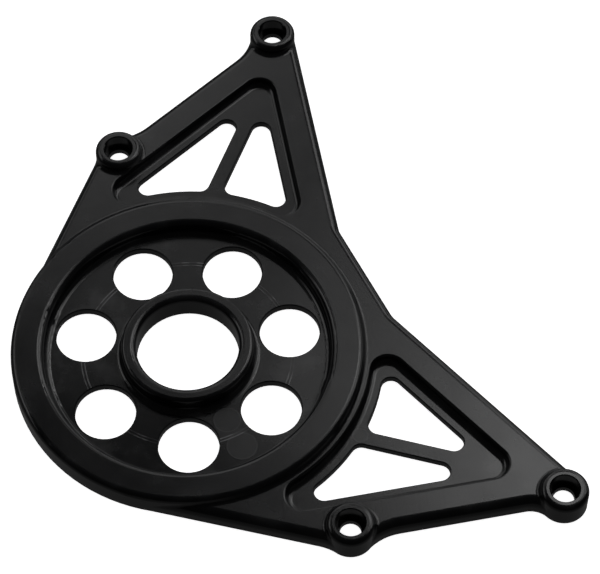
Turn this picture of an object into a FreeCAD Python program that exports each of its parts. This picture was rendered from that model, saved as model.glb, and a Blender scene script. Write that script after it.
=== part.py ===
import FreeCAD, Part
import math
import os

# A flat machined cover plate with a raised dished ring, seen from the front face.
# Millimetres. The origin is on the axis of the bore, in the plane of the back face; +Z leaves the front face.

# Plate
plate_top = 9.0
plate_round = 4.5
foot_fillet = 2.0
wall_proud = 0.1
back_edge_break = 0.4
edge_break = 0.45

# Dished ring, its sunk floor, the hub and the bore
ring_outer_radius = 83.85
ring_width = 15.55
ring_rise = 3.5
ring_outer_round = 2.75
ring_inner_round = 3.0
floor_top = 4.5
floor_fillet = 3.0
bore_radius = 24.4
hub_wall = 7.0
hub_rise = 4.5
hub_outer_round = 1.75
bore_edge_round = 2.75

# Round holes in the floor of the dish, each as far from the hub as from the ring
hole_count = 7
hole_rim = 4.05
first_hole_angle = -90.0

# Bosses: direction of each centre from the bore, and how far the centre lies outside the wall of the ring
boss_angle = {"top": 76.47, "left": 106.53, "bottom": -52.66, "right": -25.42}
boss_distance = {"top": 104.45, "left": 34.15, "bottom": 37.95, "right": 107.45}
boss_radius = 11.3
boss_rise = 4.5
boss_round = 2.7
counterbore_radius = 6.9
counterbore_depth = 8.5
through_hole_radius = 5.0
back_seat_radius = 8.5
back_seat_depth = 2.0

# How far the back edge of each arm runs outside the centres of its bosses
back_edge_outside = {"top": 3.2, "left": 4.05, "bottom": 3.6, "right": 1.9}

# How far the tail edge beside a boss runs inside the wall of that boss
tail_edge_inside = {"left": 1.6, "bottom": 2.3}

# Flat band of the web between the wall of the ring and the web's straight edge
web_width = 11.8

# Radius of the hollow blend from each of those edges into the round end at a boss, and into the web
back_blend = {"top": 24.0, "left": 25.0, "bottom": 25.0, "right": 11.0}
tail_blend = {"left": 20.0, "bottom": 24.0}
web_blend = 12.0

# Sunk pockets: their walls stand in from the plate's edges by the width of the ring
pocket_floor = 4.0
pocket_land = 0.3
pocket_corner = 8.5
pocket_edge_round = 1.0

# Windows through the pocket floors: the ledge left round each of them, and the spoke between two
window_ledge = {"upper_front": 6.3, "upper_back": 5.9, "lower_front": 6.3, "lower_back": 6.1}
window_inner_ledge = 6.1
window_corner = 4.8
spoke_width = 7.2
spoke_distance = 23.15
spoke_angle = 131.85

# How far cutting tools run past the faces they open
clear = 5.0

# How closely an edge has to follow a height, an outline or a wall to count as lying on it
contact = 0.001
samples = 5

# Sizes worked out from the ones above; the plate's own edge stays just inside the walls that stand on it
ring_top = plate_top + ring_rise
hub_top = plate_top + hub_rise
boss_top = plate_top + boss_rise
ring_inner_radius = ring_outer_radius - ring_width
hub_radius = bore_radius + hub_wall
hole_pitch_radius = (ring_inner_radius + hub_radius) / 2
hole_radius = (ring_inner_radius - hub_radius) / 2 - hole_rim
plate_arc_radius = ring_outer_radius - wall_proud
lobe_radius = boss_radius - wall_proud
web_edge_distance = ring_outer_radius + web_width
pocket_inner_radius = ring_outer_radius + foot_fillet + pocket_edge_round + pocket_land
window_inner_radius = pocket_inner_radius + window_inner_ledge


def unit(angle):
    """Unit vector at an angle in degrees."""
    turn = math.radians(angle)
    return FreeCAD.Vector(math.cos(turn), math.sin(turn), 0)


def angle_of(vector):
    """Angle of a vector in degrees."""
    return math.degrees(math.atan2(vector.y, vector.x))


def normal_of(vector):
    """The vector turned by a quarter turn anticlockwise."""
    return FreeCAD.Vector(-vector.y, vector.x, 0)


def direction(vector):
    """Copy of the vector with unit length."""
    return FreeCAD.Vector(vector).normalize()


def centre_of(name):
    """Centre of a boss."""
    return unit(boss_angle[name]) * (ring_outer_radius + boss_distance[name])


def tangent_line(first, first_radius, second, second_radius):
    """Line (outward normal, distance) touching two circles on its inner side, walking anticlockwise."""
    along = second - first
    drop = (first_radius - second_radius) / along.Length
    along.normalize()
    normal = normal_of(along) * -math.sqrt(1 - drop * drop) + along * drop
    return normal, normal.dot(first) + first_radius


def moved_in(line, margin):
    """The same line shifted inwards."""
    return line[0], line[1] - margin


def crossing(line_a, line_b):
    """Point where two lines meet."""
    normal_a, distance_a = line_a
    normal_b, distance_b = line_b
    scale = normal_a.x * normal_b.y - normal_a.y * normal_b.x
    x = (distance_a * normal_b.y - distance_b * normal_a.y) / scale
    y = (normal_a.x * distance_b - normal_b.x * distance_a) / scale
    return FreeCAD.Vector(x, y, 0)


def arc_edge(start, middle, end):
    """Circular edge through three points."""
    return Part.Arc(start, middle, end).toShape()


def corner_by_boss(centre, line, along, radius):
    """Hollow blend between the wall of a boss and a straight edge: point on edge, middle, point on boss."""
    normal, distance = line
    rise = distance + radius - normal.dot(centre)
    reach = math.sqrt((lobe_radius + radius) ** 2 - rise ** 2)
    blend_centre = centre + normal * rise + along * reach
    on_line = blend_centre - normal * radius
    on_boss = centre + direction(blend_centre - centre) * lobe_radius
    inward = direction(direction(on_line - blend_centre) + direction(on_boss - blend_centre))
    return on_line, blend_centre + inward * radius, on_boss


def hollow_corner(line_a, line_b, radius):
    """Hollow blend between two straight edges: point on the first, middle, point on the second."""
    centre = crossing(moved_in(line_a, -radius), moved_in(line_b, -radius))
    inward = direction(line_a[0] + line_b[0])
    return centre - line_a[0] * radius, centre - inward * radius, centre - line_b[0] * radius


def edge_lines():
    """The seven straight edges of the plate, named by the arm they belong to and the way they face."""
    bore = FreeCAD.Vector(0, 0, 0)
    back = back_edge_outside
    tail = {name: lobe_radius - inside for name, inside in tail_edge_inside.items()}
    lines = {
        "lower_tail": tangent_line(bore, plate_arc_radius, centre_of("bottom"), tail["bottom"]),
        "lower_back": tangent_line(centre_of("bottom"), back["bottom"], centre_of("right"), back["right"]),
        "lower_front": tangent_line(centre_of("right"), lobe_radius, bore, ring_outer_radius),
        "upper_front": tangent_line(bore, ring_outer_radius, centre_of("top"), lobe_radius),
        "upper_back": tangent_line(centre_of("top"), back["top"], centre_of("left"), back["left"]),
        "upper_tail": tangent_line(centre_of("left"), tail["left"], bore, plate_arc_radius),
    }
    between_arms = direction(lines["lower_front"][0] + lines["upper_front"][0])
    lines["web"] = (between_arms, web_edge_distance)
    return lines


def boss_edges(lines):
    """For each boss, anticlockwise: the edges before and after it, with their blends (none where tangent)."""
    return {
        "bottom": (lines["lower_tail"], tail_blend["bottom"], lines["lower_back"], back_blend["bottom"]),
        "right": (lines["lower_back"], back_blend["right"], lines["lower_front"], None),
        "top": (lines["upper_front"], None, lines["upper_back"], back_blend["top"]),
        "left": (lines["upper_back"], back_blend["left"], lines["upper_tail"], tail_blend["left"]),
    }


def outward_of(edges_at_boss):
    """Direction in which a boss looks out of the plate."""
    before, _, after, _ = edges_at_boss
    return direction(before[0] + after[0])


def go_round_boss(edges, place, centre, edges_at_boss):
    """Adds the edge up to a boss, its blends and its round end, and returns where the next edge starts."""
    before, blend_in, after, blend_out = edges_at_boss
    arrive = centre + before[0] * lobe_radius
    leave = centre + after[0] * lobe_radius
    next_place = leave
    if blend_in:
        on_line, middle, arrive = corner_by_boss(centre, before, normal_of(before[0]) * -1, blend_in)
        edges.append(Part.makeLine(place, on_line))
        edges.append(arc_edge(on_line, middle, arrive))
    else:
        edges.append(Part.makeLine(place, arrive))
    if blend_out:
        next_place, middle, leave = corner_by_boss(centre, after, normal_of(after[0]), blend_out)
    edges.append(arc_edge(arrive, centre + outward_of(edges_at_boss) * lobe_radius, leave))
    if blend_out:
        edges.append(arc_edge(leave, middle, next_place))
    return next_place


def join_web(edges, lines, place):
    """Straight edge of the web between the arms, with a hollow blend at each end."""
    first = hollow_corner(lines["lower_front"], lines["web"], web_blend)
    second = hollow_corner(lines["web"], lines["upper_front"], web_blend)
    edges.append(Part.makeLine(place, first[0]))
    edges.append(arc_edge(*first))
    edges.append(Part.makeLine(first[2], second[0]))
    edges.append(arc_edge(*second))
    return second[2]


def plate_outline(lines):
    """Closed outline of the plate, anticlockwise, with an arc inside the ring's wall between the tails."""
    edges = []
    around = boss_edges(lines)
    tail_start = lines["lower_tail"][0] * plate_arc_radius
    tail_end = lines["upper_tail"][0] * plate_arc_radius
    far_side = lines["web"][0] * -plate_arc_radius
    edges.append(arc_edge(tail_end, far_side, tail_start))
    place = go_round_boss(edges, tail_start, centre_of("bottom"), around["bottom"])
    place = go_round_boss(edges, place, centre_of("right"), around["right"])
    place = join_web(edges, lines, place)
    place = go_round_boss(edges, place, centre_of("top"), around["top"])
    place = go_round_boss(edges, place, centre_of("left"), around["left"])
    edges.append(Part.makeLine(place, tail_end))
    return Part.Face(Part.Wire(edges))


def rim_edges(shape, height):
    """Edges of a shape that lie wholly at one height."""
    low = height - contact
    high = height + contact
    return [edge for edge in shape.Edges if low < edge.BoundBox.ZMin and edge.BoundBox.ZMax < high]


def plate_body(lines):
    """Plate with its large rounded front edge, open where the dish goes."""
    body = plate_outline(lines).extrude(FreeCAD.Vector(0, 0, plate_top))
    body = body.makeFillet(plate_round, rim_edges(body, plate_top))
    middle = Part.makeCylinder((ring_inner_radius + ring_outer_radius) / 2, plate_top + clear)
    return body.cut(middle)


def corner_arc(before, here, after, radius):
    """Start, middle and end of the arc that rounds one corner of a profile."""
    back = direction(before - here)
    forth = direction(after - here)
    half = math.acos(back.dot(forth)) / 2
    reach = radius / math.tan(half)
    centre = here + direction(back + forth) * (radius / math.sin(half))
    return here + back * reach, centre + direction(here - centre) * radius, here + forth * reach


def profile_face(points):
    """Face in the XZ plane from points (x, z); a third item rounds that corner."""
    count = len(points)
    places = [FreeCAD.Vector(point[0], 0, point[1]) for point in points]
    corners = []
    for index, point in enumerate(points):
        here = places[index]
        if len(point) == 3:
            corners.append(corner_arc(places[index - 1], here, places[(index + 1) % count], point[2]))
        else:
            corners.append((here, None, here))
    edges = []
    for index, (start, middle, end) in enumerate(corners):
        if middle:
            edges.append(arc_edge(start, middle, end))
        edges.append(Part.makeLine(end, corners[(index + 1) % count][0]))
    return Part.Face(Part.Wire(edges))


def turned(points):
    """Solid of revolution about the Z axis."""
    return profile_face(points).revolve(FreeCAD.Vector(0, 0, 0), FreeCAD.Vector(0, 0, 1), 360)


def dish_body():
    """Ring, sunk floor and hub in one turned profile, with the bore through it."""
    return turned([
        (bore_radius + edge_break, 0),
        (ring_outer_radius, 0),
        (ring_outer_radius, ring_top, ring_outer_round),
        (ring_inner_radius, ring_top, ring_inner_round),
        (ring_inner_radius, floor_top, floor_fillet),
        (hub_radius, floor_top, floor_fillet),
        (hub_radius, hub_top, hub_outer_round),
        (bore_radius, hub_top, bore_edge_round),
        (bore_radius, edge_break),
    ])


def boss_body():
    """Outside of one boss, on the Z axis."""
    return turned([
        (0, 0),
        (boss_radius, 0),
        (boss_radius, boss_top, boss_round),
        (0, boss_top),
    ])


def boss_bore():
    """Counterbore, through hole and the shallow seat in the back, with the rim's broken edge."""
    shoulder = boss_top - counterbore_depth
    return turned([
        (0, -clear),
        (back_seat_radius, -clear),
        (back_seat_radius, back_seat_depth),
        (through_hole_radius, back_seat_depth),
        (through_hole_radius, shoulder),
        (counterbore_radius, shoulder),
        (counterbore_radius, boss_top - edge_break),
        (counterbore_radius + edge_break, boss_top),
        (counterbore_radius + edge_break, boss_top + clear),
        (0, boss_top + clear),
    ])


def floor_hole():
    """One round hole through the floor of the dish with both edges broken."""
    wide = hole_radius + edge_break
    return turned([
        (0, -clear),
        (wide, -clear),
        (wide, 0),
        (hole_radius, edge_break),
        (hole_radius, floor_top - edge_break),
        (wide, floor_top),
        (wide, ring_top),
        (0, ring_top),
    ])


def curved_triangle(line_a, line_b, inner_radius, corner, height):
    """Wire of two straight sides and one side concentric with the ring, with rounded corners."""
    up = FreeCAD.Vector(0, 0, height)
    apex = crossing(moved_in(line_a, corner), moved_in(line_b, corner)) + up
    tip = [apex + side * corner for side in (line_a[0], direction(line_a[0] + line_b[0]), line_b[0])]
    feet = []
    for line, other in ((line_a, line_b), (line_b, line_a)):
        normal, distance = moved_in(line, corner)
        away = math.copysign(1, normal_of(normal).dot(other[0]))
        reach = math.sqrt((inner_radius + corner) ** 2 - distance ** 2)
        centre = normal * distance + normal_of(normal) * (away * reach)
        inward = direction(centre) * -1
        sides = (normal, direction(normal + inward), inward)
        feet.append([centre + up + side * corner for side in sides])
    middle = direction(feet[0][2] + feet[1][2] - up * 2) * inner_radius + up
    edges = [
        arc_edge(*tip),
        Part.makeLine(tip[2], feet[1][0]),
        arc_edge(*feet[1]),
        arc_edge(feet[1][2], middle, feet[0][2]),
        arc_edge(*reversed(feet[0])),
        Part.makeLine(feet[0][0], tip[0]),
    ]
    return Part.Wire(edges)


def pocket_outline(lines, arm, height):
    """Outline of the sunk pocket of one arm at a height."""
    front = moved_in(lines[arm + "_front"], ring_width)
    back = moved_in(lines[arm + "_back"], ring_width)
    return curved_triangle(front, back, pocket_inner_radius, pocket_corner, height)


def pocket_cutter(lines, arm):
    """Tool for the sunk pocket of one arm, with the fillet of its floor."""
    tool = Part.Face(pocket_outline(lines, arm, pocket_floor)).extrude(FreeCAD.Vector(0, 0, ring_top))
    return tool.makeFillet(floor_fillet, rim_edges(tool, pocket_floor))


def follows(edge, outline):
    """True where an edge runs straight above an outline."""
    points = [FreeCAD.Vector(point.x, point.y, 0) for point in edge.discretize(samples)]
    return all(outline.distToShape(Part.Vertex(point))[0] < contact for point in points)


def cut_pocket(solid, lines, arm):
    """Sinks one pocket and rounds its upper edge, also where that edge climbs the foot of a boss."""
    solid = solid.cut(pocket_cutter(lines, arm))
    outline = pocket_outline(lines, arm, 0)
    upper = [edge for edge in solid.Edges if edge.BoundBox.ZMin > plate_top - edge_break]
    return solid.makeFillet(pocket_edge_round, [edge for edge in upper if follows(edge, outline)])


def window_cutter(side, ledge, spoke_side):
    """Tools for one window through a pocket floor, flared at both faces to break the edges."""
    wall = moved_in(side, ring_width + ledge)

    def outline(height, grow):
        lines = (moved_in(wall, -grow), moved_in(spoke_side, -grow))
        return curved_triangle(*lines, window_inner_radius - grow, window_corner + grow, height)

    straight = Part.Face(outline(-clear, 0)).extrude(FreeCAD.Vector(0, 0, ring_top + clear))
    lower = Part.makeLoft([outline(0, edge_break), outline(edge_break, 0)], True, True)
    rim = pocket_floor - edge_break
    upper = Part.makeLoft([outline(rim, 0), outline(pocket_floor, edge_break)], True, True)
    return [straight, lower, upper]


def arm_windows(lines):
    """Tools for the two windows of each arm, one on either side of its spoke."""
    windows = []
    for arm, turn in (("upper", spoke_angle), ("lower", -spoke_angle)):
        spoke = unit(angle_of(lines["web"][0]) + turn)
        inner_side = (spoke, spoke_distance - spoke_width / 2)
        outer_side = (spoke * -1, -spoke_distance - spoke_width / 2)
        for edge, spoke_side in ((arm + "_front", inner_side), (arm + "_back", outer_side)):
            windows += window_cutter(lines[edge], window_ledge[edge], spoke_side)
    return windows


def placed(shape, centre):
    """Copy of a shape moved to a centre."""
    copy = shape.copy()
    copy.translate(centre)
    return copy


def turned_to(shape, outward):
    """Copy of a shape turned about the Z axis until its seam looks outward."""
    copy = shape.copy()
    copy.rotate(FreeCAD.Vector(0, 0, 0), FreeCAD.Vector(0, 0, 1), angle_of(outward))
    return copy


def on_wall(edge, centre, radius):
    """True where an edge lies on an upright round wall."""
    points = [FreeCAD.Vector(point.x, point.y, 0) for point in edge.discretize(samples)]
    return all(abs((point - centre).Length - radius) < contact for point in points)


def fillet_foot(solid, centre, radius):
    """Fillet where a round wall rises from the plate; it runs on down the hollow corners at its ends."""
    feet = [edge for edge in rim_edges(solid, plate_top) if on_wall(edge, centre, radius)]
    return solid.makeFillet(foot_fillet, feet)


def break_back_edge(solid):
    """Small break along the outer edge of the back face."""
    outer = []
    for edge in rim_edges(solid, 0):
        if min(point.Length for point in edge.discretize(samples)) > ring_inner_radius:
            outer.append(edge)
    return solid.makeChamfer(back_edge_break, outer)


def standing_parts(lines):
    """Dish and bosses, each turned so that its seam faces away from the plate."""
    shapes = [turned_to(dish_body(), lines["web"][0] * -1)]
    for name, edges_at_boss in boss_edges(lines).items():
        shapes.append(placed(turned_to(boss_body(), outward_of(edges_at_boss)), centre_of(name)))
    return shapes


def holes():
    """Tools for the bores of the bosses and the holes in the floor of the dish."""
    tools = [placed(boss_bore(), centre_of(name)) for name in boss_angle]
    for index in range(hole_count):
        centre = unit(first_hole_angle + index * 360.0 / hole_count) * hole_pitch_radius
        tools.append(placed(floor_hole(), centre))
    return tools


def cover():
    """The whole part."""
    lines = edge_lines()
    solid = plate_body(lines).fuse(standing_parts(lines)).removeSplitter().Solids[0]
    for name in boss_angle:
        solid = fillet_foot(solid, centre_of(name), boss_radius)
    solid = fillet_foot(solid, FreeCAD.Vector(0, 0, 0), ring_outer_radius)
    solid = break_back_edge(solid)
    for arm in ("upper", "lower"):
        solid = cut_pocket(solid, lines, arm)
    return solid.cut(arm_windows(lines) + holes())


os.makedirs("parts", exist_ok=True)
shape = cover()
shape.exportStep("parts/pulley_cover.step")
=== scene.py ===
import math
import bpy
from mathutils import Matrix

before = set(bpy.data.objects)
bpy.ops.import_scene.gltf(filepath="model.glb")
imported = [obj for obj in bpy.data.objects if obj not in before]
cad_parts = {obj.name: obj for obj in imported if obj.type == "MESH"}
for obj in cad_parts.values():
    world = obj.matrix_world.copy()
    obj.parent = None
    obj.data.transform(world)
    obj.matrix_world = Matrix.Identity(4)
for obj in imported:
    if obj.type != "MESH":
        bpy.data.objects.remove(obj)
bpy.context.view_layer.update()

from types import SimpleNamespace

import bpy
from mathutils import Quaternion, Vector

# A black machined cover plate lying on a white floor, seen from above its dished ring.
# Metres, in the frame's own axes: +Z out of the front face, origin on the bore's axis in the back plane.

COVER = "pulley_cover"
MM = 0.001

# The black finish: its colours, and how far each mark turns one into the next; the hazed grey-black is
# painted sheen and painted edge highlight
deep_black = (0.0044, 0.0047, 0.0054, 1)
worn_black = (0.0085, 0.0087, 0.0093, 1)
# Pale grey-black used for the painted sheen and the painted edge highlight
painted_sheen_black = (0.042, 0.042, 0.043, 1)
scratched_black = (0.15, 0.15, 0.155, 1)
mottle_size = 7 * MM
mottle_range = (0.3, 0.75)
# Painted sheen: soft clouds of the lighter black, strongest on the dish floor
sheen_cloud_size = 17 * MM
sheen_cloud_range = (0.46, 0.72)
painted_sheen_in_dish = 0.8
painted_sheen_elsewhere = 0.3
# Painted sheen on the end-mill spots: how far their discs turn to the lighter black
painted_sheen_in_spots = 0.65
# Painted edge highlight: blotches of the lighter black along the roundings
edge_highlight_share = 0.06
edge_highlight_size = 9 * MM
edge_highlight_range = (0.5, 0.7)
scratch_colour = 0.7

# How rough it is on the flats, and what each kind of place adds
face_rough = 0.19
smudge_rough = 0.10
smudge_size = 24 * MM
rounding_rough = -0.03
grain_rough = 0.03
spot_rough = 0.03
dish_rough = -0.035
scratch_rough = 0.16

# How directly a surface looks up or down where walls turn into roundings, and roundings into flats
wall_facing = (0.05, 0.25)
flat_facing = (0.85, 0.99)

# Where the ring ends and the dish's wall stands, and a height between the sunk floors and the plate's face
ring_outer_radius = 84.5 * MM
dish_radius = 68.3 * MM
above_floors = 5.2 * MM
blend_width = 0.5 * MM

# Marks that the cutters left: their width across the lay, and their height in metres
lathe_lay = 0.9 * MM
lathe_depth = 5e-6
facing_centre = (-0.26, -0.11)
facing_lay = 1.3 * MM
facing_depth = 7e-6
wall_lay = 0.6 * MM
wall_depth = 2.5e-6
wave_length = 20 * MM
wave_depth = 2e-5
grain_size = 0.35 * MM
grain_depth = 1.5e-6

# Two fine rings scribed in the dish's floor, broken up along their length
scribed_radii = (49.3 * MM, 50.8 * MM)
scribed_width = 0.5 * MM
scribed_depth = 2e-5
scribed_break = 9 * MM
break_range = (0.38, 0.62)
faintest_line = 0.15
boldest_line = 1.3

# Round spots where an end mill was sunk: place and radius of each
mill_spots = (
    (18.1 * MM, -37.0 * MM, 6.3 * MM),
    (24.9 * MM, -51.1 * MM, 7.0 * MM),
    (80.2 * MM, -46.6 * MM, 3.6 * MM),
)
spot_rim = 0.5 * MM
rim_share = 0.25

# Soft boxes round the part: name, compass angle from +Y to +X, angle above the floor,
# width, height, roll in degrees, brightness
light_reach = 1.6
light_aim = Vector((0.05, 0.03, 0.0))
soft_boxes = (
    ("main", 30, 59, 0.24, 0.56, -30, 3.4),
    ("main_shoulder", 8, 59, 0.20, 0.34, -20, 1.0),
    ("back_centre", 351, 56, 0.24, 0.24, 0, 0.38),
    ("back_low", 358, 48, 0.24, 0.16, 0, 0.95),
    ("back_left", 341, 49, 0.50, 0.20, 0, 1.15),
    ("right_high", 59, 57, 0.52, 0.46, 0, 1.35),
    ("left_high", 318, 57, 0.26, 0.20, 0, 0.65),
    ("middle_left", 297, 40, 0.90, 0.36, 0, 1.3),
    ("middle_back", 352, 38, 0.46, 0.30, 0, 1.15),
    ("middle_right", 54, 40, 1.10, 0.32, 0, 2.1),
    ("low_left", 286, 27, 1.10, 0.32, 0, 0.6),
    ("low_back", 334, 27, 1.10, 0.32, 0, 0.95),
    ("low_right", 24, 27, 1.20, 0.32, 0, 1.5),
    ("side_right", 60, 15, 0.80, 0.32, 0, 0.75),
    ("floor_strip", 16, 4, 1.50, 0.25, 0, 1.05),
)

# Dim room: grey towards the floor, nearly dark above it, with a soft line between
room_above = 0.02
room_below = 0.09
room_blend = 0.05

# White floor and round backdrop
set_reach = 6.0
backdrop_top = 6.0
set_sides = 48
floor_level = -0.2 * MM

# Camera at the viewing angle of the photograph
camera_place = (0.03560, -0.68476, 1.15852)
camera_turn = (31.979, 0.0235, -1.5187)
camera_lens = 169.13
camera_sensor = 36.0


def add(tree, kind, **settings):
    """Adds a node and sets its properties."""
    node = tree.nodes.new(kind)
    for name, given in settings.items():
        setattr(node, name, given)
    return node


def feed(tree, given, socket):
    """Links an output to the socket, or sets the socket's own value."""
    if isinstance(given, bpy.types.NodeSocket):
        tree.links.new(given, socket)
    else:
        socket.default_value = given


def calculate(tree, operation, *given):
    """Math node on numbers or on other nodes' outputs."""
    node = add(tree, "ShaderNodeMath", operation=operation)
    for socket, value in zip(node.inputs, given):
        feed(tree, value, socket)
    return node.outputs[0]


def total(tree, *given):
    """Sum of any number of values."""
    result = given[0]
    for value in given[1:]:
        result = calculate(tree, "ADD", result, value)
    return result


def product(tree, *given):
    """Product of any number of values."""
    result = given[0]
    for value in given[1:]:
        result = calculate(tree, "MULTIPLY", result, value)
    return result


def upward(tree, vector):
    """Z component of a vector."""
    node = add(tree, "ShaderNodeSeparateXYZ")
    feed(tree, vector, node.inputs[0])
    return node.outputs["Z"]


def remap(tree, given, low, high, new_low=0.0, new_high=1.0):
    """Value carried smoothly from one range to another, and held at its ends."""
    node = add(tree, "ShaderNodeMapRange", interpolation_type="SMOOTHSTEP")
    feed(tree, given, node.inputs["Value"])
    feed(tree, low, node.inputs["From Min"])
    feed(tree, high, node.inputs["From Max"])
    feed(tree, new_low, node.inputs["To Min"])
    feed(tree, new_high, node.inputs["To Max"])
    return node.outputs["Result"]


def inside(tree, distance, limit):
    """1 up to the limit, fading to 0 over the blend beyond it."""
    return remap(tree, distance, limit, limit + blend_width, 1.0, 0.0)


def blotches(tree, place, size, detail=2.0):
    """Noise from 0 to 1 whose patches are about size across."""
    node = add(tree, "ShaderNodeTexNoise")
    feed(tree, place, node.inputs["Vector"])
    node.inputs["Scale"].default_value = 1 / size
    node.inputs["Detail"].default_value = detail
    return node.outputs["Fac"]


def streaks(tree, distance, size, detail=2.0):
    """Noise from 0 to 1 that changes along one distance only, as a cutter's marks do."""
    node = add(tree, "ShaderNodeTexNoise", noise_dimensions="1D")
    feed(tree, distance, node.inputs["W"])
    node.inputs["Scale"].default_value = 1 / size
    node.inputs["Detail"].default_value = detail
    return node.outputs["Fac"]


def distance_from(tree, place, centre):
    """Distance in the plane of the plate from an axis through the centre."""
    mapping = add(tree, "ShaderNodeMapping", vector_type="POINT")
    feed(tree, place, mapping.inputs["Vector"])
    mapping.inputs["Location"].default_value = (-centre[0], -centre[1], 0.0)
    mapping.inputs["Scale"].default_value = (1, 1, 0)
    length = add(tree, "ShaderNodeVectorMath", operation="LENGTH")
    feed(tree, mapping.outputs["Vector"], length.inputs[0])
    return length.outputs["Value"]


def relief(tree, height, depth, below=None):
    """Bump of that depth in metres, laid over the normals of the layer below."""
    node = add(tree, "ShaderNodeBump")
    feed(tree, height, node.inputs["Height"])
    node.inputs["Distance"].default_value = depth
    if below is not None:
        feed(tree, below, node.inputs["Normal"])
    return node.outputs["Normal"]


def blend_colours(tree, share, first, second):
    """Colour between the first and the second by the share."""
    node = add(tree, "ShaderNodeMix", data_type="RGBA")
    feed(tree, share, node.inputs["Factor"])
    feed(tree, first, node.inputs["A"])
    feed(tree, second, node.inputs["B"])
    return node.outputs["Result"]


def find_zones(tree):
    """Place and radius on the cover, and masks from 0 to 1 for its kinds of surface."""
    coords = add(tree, "ShaderNodeTexCoord")
    place = coords.outputs["Object"]
    height = upward(tree, place)
    facing = calculate(tree, "ABSOLUTE", upward(tree, coords.outputs["Normal"]))
    radius = distance_from(tree, place, (0, 0))
    flat = remap(tree, facing, *flat_facing)
    steep = calculate(tree, "SUBTRACT", 1.0, flat)
    rounding = product(tree, steep, remap(tree, facing, *wall_facing))
    on_floor = product(tree, inside(tree, height, above_floors), flat)
    in_ring = inside(tree, radius, ring_outer_radius)
    on_arms = calculate(tree, "SUBTRACT", 1.0, in_ring)
    in_dish = product(tree, on_floor, inside(tree, radius, dish_radius))
    return SimpleNamespace(place=place, height=height, radius=radius, flat=flat, steep=steep,
                           rounding=rounding, on_floor=on_floor, in_ring=in_ring, on_arms=on_arms,
                           in_dish=in_dish)


def narrow_ring(tree, distance, radius, width):
    """1 on a circle of that radius, fading to 0 a width to either side."""
    offset = calculate(tree, "ABSOLUTE", calculate(tree, "SUBTRACT", distance, radius))
    return remap(tree, offset, 0.0, width, 1.0, 0.0)


def scribed_rings(tree, zones):
    """The two fine rings in the dish, fainter in some stretches than in others."""
    rings = total(tree, *[narrow_ring(tree, zones.radius, each, scribed_width) for each in scribed_radii])
    breaks = blotches(tree, zones.place, scribed_break)
    boldness = remap(tree, breaks, *break_range, faintest_line, boldest_line)
    return product(tree, rings, boldness, zones.in_dish)


def mill_marks(tree, zones):
    """Discs and rims of the round spots that an end mill left on the floors."""
    discs = 0.0
    rims = 0.0
    for x, y, radius in mill_spots:
        distance = distance_from(tree, zones.place, (x, y))
        disc = remap(tree, distance, radius - spot_rim, radius + spot_rim, 1.0, 0.0)
        discs = calculate(tree, "MAXIMUM", disc, discs)
        rims = calculate(tree, "MAXIMUM", narrow_ring(tree, distance, radius, spot_rim), rims)
    return product(tree, discs, zones.on_floor), product(tree, rims, zones.on_floor)


def finish_colour(tree, zones, discs, scratches):
    """Deep black on the roundings, mottled on the flats, painted sheen in clouds (strongest in the dish)
    and on the end-mill spots, a painted highlight in blotches along the roundings, pale in the scratches.
    """
    mottle = remap(tree, blotches(tree, zones.place, mottle_size, 3.0), *mottle_range)
    # Painted sheen: lighter clouds, strongest in the dish, and lighter discs on the end-mill spots
    sheen_cloud = remap(tree, blotches(tree, zones.place, sheen_cloud_size, 4.0), *sheen_cloud_range)
    # Painted edge highlight along the roundings, in blotches
    highlit_edges = remap(tree, blotches(tree, zones.place, edge_highlight_size, 4.0), *edge_highlight_range)
    painted_sheen = calculate(tree, "MULTIPLY_ADD", zones.in_dish, painted_sheen_in_dish - painted_sheen_elsewhere, painted_sheen_elsewhere)
    # Lighter discs on the end-mill spots are painted sheen
    painted_sheen = calculate(tree, "MAXIMUM", product(tree, sheen_cloud, painted_sheen), product(tree, discs, painted_sheen_in_spots))
    painted_sheen = calculate(tree, "MAXIMUM", painted_sheen, product(tree, zones.rounding, highlit_edges, edge_highlight_share))
    colour = blend_colours(tree, product(tree, mottle, zones.flat), deep_black, worn_black)
    colour = blend_colours(tree, painted_sheen, colour, painted_sheen_black)
    return blend_colours(tree, product(tree, scratches, scratch_colour), colour, scratched_black)


def finish_roughness(tree, zones, grain, rings, discs):
    """Satin with smudges, glossier on the roundings and in the dish, dull in the scribed rings."""
    smudge = blotches(tree, zones.place, smudge_size, 3.0)
    return total(
        tree,
        calculate(tree, "MULTIPLY_ADD", smudge, smudge_rough, face_rough - smudge_rough / 2),
        product(tree, zones.rounding, rounding_rough),
        product(tree, grain, grain_rough),
        product(tree, rings, scratch_rough),
        product(tree, discs, spot_rough),
        product(tree, zones.in_dish, dish_rough),
    )


def finish_relief(tree, zones, grain, scratches):
    """Slight waves, the marks of each cutter, the scratches and the grain, one over the other."""
    lathe = product(tree, streaks(tree, zones.radius, lathe_lay, 3.0), zones.flat, zones.in_ring)
    sweep = distance_from(tree, zones.place, facing_centre)
    facing_marks = product(tree, streaks(tree, sweep, facing_lay, 3.0), zones.flat, zones.on_arms)
    wall_marks = product(tree, streaks(tree, zones.height, wall_lay), zones.steep)
    normal = relief(tree, blotches(tree, zones.place, wave_length, 1.0), wave_depth)
    normal = relief(tree, lathe, lathe_depth, normal)
    normal = relief(tree, facing_marks, facing_depth, normal)
    normal = relief(tree, wall_marks, wall_depth, normal)
    normal = relief(tree, scratches, scribed_depth, normal)
    return relief(tree, grain, grain_depth, normal)


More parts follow.
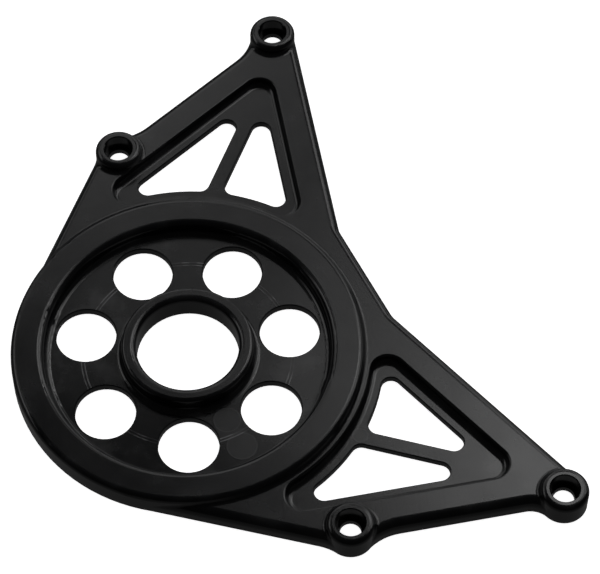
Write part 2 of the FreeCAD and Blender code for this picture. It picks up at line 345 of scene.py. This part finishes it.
def black_finish():
    """Black anodised metal over fine cutter marks: satin, a little smudged, scribed in the dish, with
    painted sheen and a painted edge highlight in its colour.
    """
    material = bpy.data.materials.new("black_anodised_machined")
    material.use_nodes = True
    tree = material.node_tree
    shader = tree.nodes["Principled BSDF"]
    zones = find_zones(tree)
    grain = blotches(tree, zones.place, grain_size, 1.0)
    rings = scribed_rings(tree, zones)
    discs, rims = mill_marks(tree, zones)
    scratches = total(tree, rings, product(tree, rims, rim_share))
    feed(tree, finish_colour(tree, zones, discs, scratches), shader.inputs["Base Color"])
    feed(tree, finish_roughness(tree, zones, grain, rings, discs), shader.inputs["Roughness"])
    feed(tree, finish_relief(tree, zones, grain, scratches), shader.inputs["Normal"])
    shader.inputs["IOR"].default_value = 1.5
    return material


def pale_material(name):
    """Even white of the floor and the backdrop, bright enough to show no shadow."""
    material = bpy.data.materials.new(name)
    material.use_nodes = True
    shader = material.node_tree.nodes["Principled BSDF"]
    shader.inputs["Base Color"].default_value = (0.9, 0.9, 0.9, 1)
    shader.inputs["Roughness"].default_value = 0.9
    shader.inputs["Emission Color"].default_value = (1, 1, 1, 1)
    shader.inputs["Emission Strength"].default_value = 1.0
    return material


def stage_piece(name, corners, faces, material):
    """Part of the set: seen by the camera, and kept out of the cover's reflections."""
    mesh = bpy.data.meshes.new(name)
    mesh.from_pydata(corners, [], faces)
    mesh.materials.append(material)
    piece = bpy.data.objects.new(name, mesh)
    bpy.context.scene.collection.objects.link(piece)
    piece.visible_glossy = False
    piece.visible_diffuse = False
    piece.visible_shadow = False


def make_stage():
    """White floor just under the back face, and a round white wall far behind it."""
    turns = [math.tau * step / set_sides for step in range(set_sides)]
    ring = [(set_reach * math.cos(turn), set_reach * math.sin(turn)) for turn in turns]
    material = pale_material("white_set")
    stage_piece("floor", [(x, y, floor_level) for x, y in ring], [tuple(range(set_sides))], material)
    corners = [(x, y, floor_level) for x, y in ring] + [(x, y, backdrop_top) for x, y in ring]
    faces = []
    for step in range(set_sides):
        following = (step + 1) % set_sides
        faces.append((following, step, set_sides + step, set_sides + following))
    stage_piece("backdrop", corners, faces, material)


def soft_box(name, compass, rise, width, height, roll, brightness):
    """Rectangular soft light aimed at the middle of the cover."""
    turn = math.radians(compass)
    lift = math.radians(rise)
    outward = Vector((math.sin(turn) * math.cos(lift), math.cos(turn) * math.cos(lift), math.sin(lift)))
    level = (-outward).to_track_quat("-Z", "Y")
    data = bpy.data.lights.new(name, "AREA")
    data.shape = "RECTANGLE"
    data.size = width
    data.size_y = height
    data.energy = brightness * width * height * math.pi
    lamp = bpy.data.objects.new(name, data)
    lamp.location = light_aim + light_reach * outward
    lamp.rotation_euler = (Quaternion(outward, math.radians(roll)) @ level).to_euler()
    lamp.visible_camera = False
    bpy.context.scene.collection.objects.link(lamp)


def make_camera():
    """Camera at its place, looking down on the cover."""
    data = bpy.data.cameras.new("camera")
    data.sensor_width = camera_sensor
    data.lens = camera_lens
    camera = bpy.data.objects.new("camera", data)
    camera.location = camera_place
    camera.rotation_euler = [math.radians(angle) for angle in camera_turn]
    bpy.context.scene.collection.objects.link(camera)
    bpy.context.scene.camera = camera


def make_room():
    """World that is grey from below and nearly dark from above."""
    world = bpy.data.worlds.new("room")
    world.use_nodes = True
    tree = world.node_tree
    coords = add(tree, "ShaderNodeTexCoord")
    height = upward(tree, coords.outputs["Generated"])
    shade = remap(tree, height, -room_blend, room_blend, room_below, room_above)
    feed(tree, shade, tree.nodes["Background"].inputs["Color"])
    bpy.context.scene.world = world


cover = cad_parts[COVER]
finish = black_finish()
for slot in cover.material_slots:
    slot.material = finish

make_stage()
make_room()
make_camera()
for box in soft_boxes:
    soft_box(*box)
bpy.context.scene.view_settings.view_transform = "Standard"
